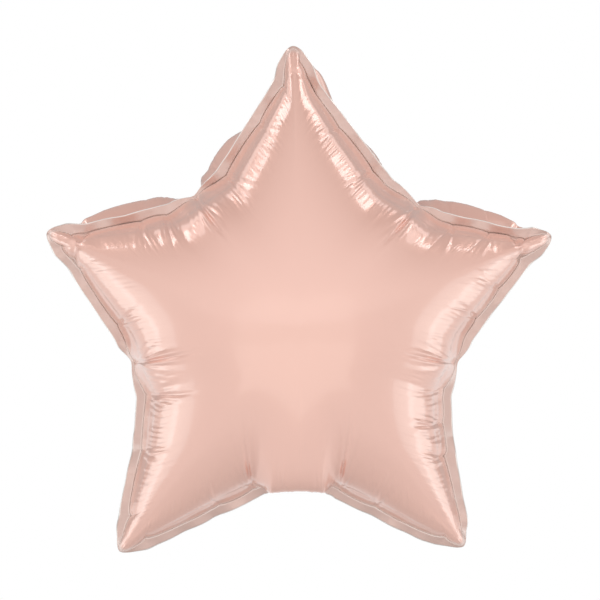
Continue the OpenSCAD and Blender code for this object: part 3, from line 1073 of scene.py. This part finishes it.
# Soft lamps, each aimed at the balloon's middle: name, place, size towards the camera and across that,
# radiance and tint
LAMP_AIM = (0, 0, 0.15)
MIDDLE_LAMPS = (
    ("front_soft", (0, -3.6, 0), (1.1, 2.6), 0.17, WARM),
    ("front_low_soft", (0, -2.2, -0.55), (0.6, 1.6), 0.33, WARM),
    ("top_soft", (0, -0.4, 1.8), (0.6, 1.0), 0.3, WHITE),
)
SIDE_LAMPS = (
    ("strip", (1.2, -0.2, 1.48), (0.8, 0.25), 2.8, WHITE),
    ("top_soft", (1.5, -0.3, 1.05), (0.8, 0.6), 0.9, WHITE),
    ("back_soft", (1.25, 0.45, 1.15), (0.5, 1.2), 0.8, WHITE),
    ("low_soft", (1.55, -0.3, -0.3), (0.8, 0.85), 0.8, COOL),
    ("low_front_soft", (1.4, -0.8, -0.3), (0.6, 0.8), 0.5, COOL),
)

# The floor's level and side, the backdrop's place and side, and each one's share of glow and its level near
# the balloon, to which its glow dims there as painted shade
FLOOR_LEVEL = -0.9
FLOOR_SIDE = 60
FLOOR_GLOW = (0.95, 0.6)
BACKDROP_PLACE = (0, 4.2, 0.1)
BACKDROP_SIDE = 2.2
BACKDROP_GLOW = (1.0, 1.0)

# The camera: its distance, how wide a view it has there, how far it looks down in degrees, and its aim
CAMERA_FAR = 2.6
CAMERA_WIDTH = 0.5316
CAMERA_LIFT = 3
CAMERA_AIM = (0, 0, 0.1657)
SENSOR = 36


def soft_box(name, place, size, radiance, tint):
    """A soft lamp whose first size runs towards the camera and whose second runs across that."""
    lamp = bpy.data.lights.new(name, "AREA")
    lamp.color = tint
    lamp.shape = "RECTANGLE"
    lamp.size, lamp.size_y = size
    lamp.energy = radiance * math.pi * size[0] * size[1]
    holder = bpy.data.objects.new(name, lamp)
    holder.location = place
    back = (Vector(place) - Vector(LAMP_AIM)).normalized()
    forth = Vector((0, -1, 0))
    forth = (forth - forth.dot(back) * back).normalized()
    turn = Matrix((forth, back.cross(forth), back)).transposed()
    holder.rotation_euler = turn.to_euler()
    holder.visible_camera = False
    bpy.context.scene.collection.objects.link(holder)


def paper_finish(name, glow_share, near):
    """Matt white paper, which the camera, metal and clear film see glow by this share.

    The glow is white far out, and dims to the level near under the balloon as painted shade.
    """
    material, tree, shader = new_finish(name)
    tree.nodes.remove(shader)
    path = add_node(tree, "ShaderNodeLightPath")
    seen = 0
    for kind in ("Is Camera Ray", "Is Glossy Ray", "Is Transmission Ray"):
        seen = math_result(tree, "MULTIPLY_ADD", path.outputs[kind], glow_share, seen)
    away = add_node(
        tree, "ShaderNodeVectorMath", Vector=add_node(tree, "ShaderNodeTexCoord").outputs["Object"])
    away.operation = "LENGTH"
    # Painted shade: the glow dims towards the level near, under the balloon
    level = map_range(tree, away.outputs["Value"], 0.2, 1.3, near, 1)
    matt = add_node(tree, "ShaderNodeBsdfDiffuse", Color=(0.85, 0.85, 0.85))
    glow = add_node(tree, "ShaderNodeEmission", Color=WHITE, Strength=level)
    mix = add_node(tree, "ShaderNodeMixShader")
    for socket, source in zip(mix.inputs, (seen, matt.outputs[0], glow.outputs[0])):
        feed(tree, socket, source)
    feed_all(tree, tree.nodes["Material Output"], Surface=mix.outputs[0])
    return material


def studio_gradient(tree):
    """A room that is bright in front of the balloon and dimmer above, beside and behind it.

    The camera sees it white.
    """
    place = add_node(tree, "ShaderNodeTexCoord").outputs["Generated"]
    axes = add_node(tree, "ShaderNodeSeparateXYZ", Vector=place).outputs
    away = math_result(tree, "MULTIPLY_ADD", axes["Z"], 0.22, axes["Y"])
    level = map_range(tree, away, -1, -0.15, 1.25, 0.45)
    by_camera = add_node(tree, "ShaderNodeLightPath").outputs["Is Camera Ray"]
    feed_all(tree, tree.nodes["Background"], Color=mix_colours(tree, by_camera, level, WHITE))


class BALLOON_OT_stage(bpy.types.Operator):
    """Set the floor, the backdrop, the light and the camera."""

    bl_idname = "balloon.stage"
    bl_label = "Stage"

    def execute(self, context):
        scene = context.scene
        scene.view_settings.view_transform = "Standard"
        bpy.ops.object.select_all(action="DESELECT")
        bpy.ops.mesh.primitive_plane_add(size=FLOOR_SIDE, location=(0, 0, FLOOR_LEVEL))
        floor = context.object
        floor.name = "floor"
        bpy.ops.mesh.primitive_plane_add(
            size=BACKDROP_SIDE, location=BACKDROP_PLACE, rotation=(math.pi / 2, 0, 0))
        backdrop = context.object
        backdrop.name = "backdrop"
        give(floor, paper_finish("pale_floor", *FLOOR_GLOW))
        give(backdrop, paper_finish("white_backdrop", *BACKDROP_GLOW))
        world = bpy.data.worlds.new("studio")
        scene.world = world
        world.use_nodes = True
        studio_gradient(world.node_tree)
        for lamp in MIDDLE_LAMPS:
            soft_box(*lamp)
        for side, way in (("left_", -1), ("right_", 1)):
            for name, (x, y, z), *rest in SIDE_LAMPS:
                soft_box(side + name, (way * x, y, z), *rest)
        lens = bpy.data.cameras.new("camera")
        camera = bpy.data.objects.new("camera", lens)
        scene.collection.objects.link(camera)
        lift = math.radians(CAMERA_LIFT)
        back = Vector((0, -math.cos(lift), math.sin(lift)))
        lens.sensor_width = SENSOR
        lens.lens = SENSOR * CAMERA_FAR / CAMERA_WIDTH
        camera.location = Vector(CAMERA_AIM) + CAMERA_FAR * back
        camera.rotation_euler = (-back).to_track_quat("-Z", "Y").to_euler()
        scene.camera = camera
        return {"FINISHED"}


class BALLOON_PT_pieces(bpy.types.Panel):
    """Pieces of the balloon."""

    bl_idname = "BALLOON_PT_pieces"
    bl_label = "Star foil balloon"
    bl_space_type = "VIEW_3D"
    bl_region_type = "UI"
    bl_category = "Balloon"

    def draw(self, context):
        for group in (context.scene.balloon_sizes, context.scene.balloon_colours):
            for key in group.__annotations__:
                self.layout.prop(group, key)
        for operator in OPERATORS:
            self.layout.operator(operator.bl_idname)


OPERATORS = (BALLOON_OT_front_film, BALLOON_OT_rear_film, BALLOON_OT_rim, BALLOON_OT_tail,
             BALLOON_OT_valve, BALLOON_OT_stage)
CLASSES = (BalloonSizes, BalloonColours, *OPERATORS, BALLOON_PT_pieces)


def register():
    for cls in CLASSES:
        bpy.utils.register_class(cls)
    bpy.types.Scene.balloon_sizes = bpy.props.PointerProperty(type=BalloonSizes)
    bpy.types.Scene.balloon_colours = bpy.props.PointerProperty(type=BalloonColours)


def unregister():
    del bpy.types.Scene.balloon_colours
    del bpy.types.Scene.balloon_sizes
    for cls in reversed(CLASSES):
        bpy.utils.unregister_class(cls)


def main():
    register()
    bpy.ops.balloon.front_film()
    bpy.ops.balloon.rear_film()
    bpy.ops.balloon.rim()
    bpy.ops.balloon.tail()
    bpy.ops.balloon.valve()
    bpy.ops.balloon.stage()
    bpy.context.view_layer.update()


if __name__ == "__main__":
    main()
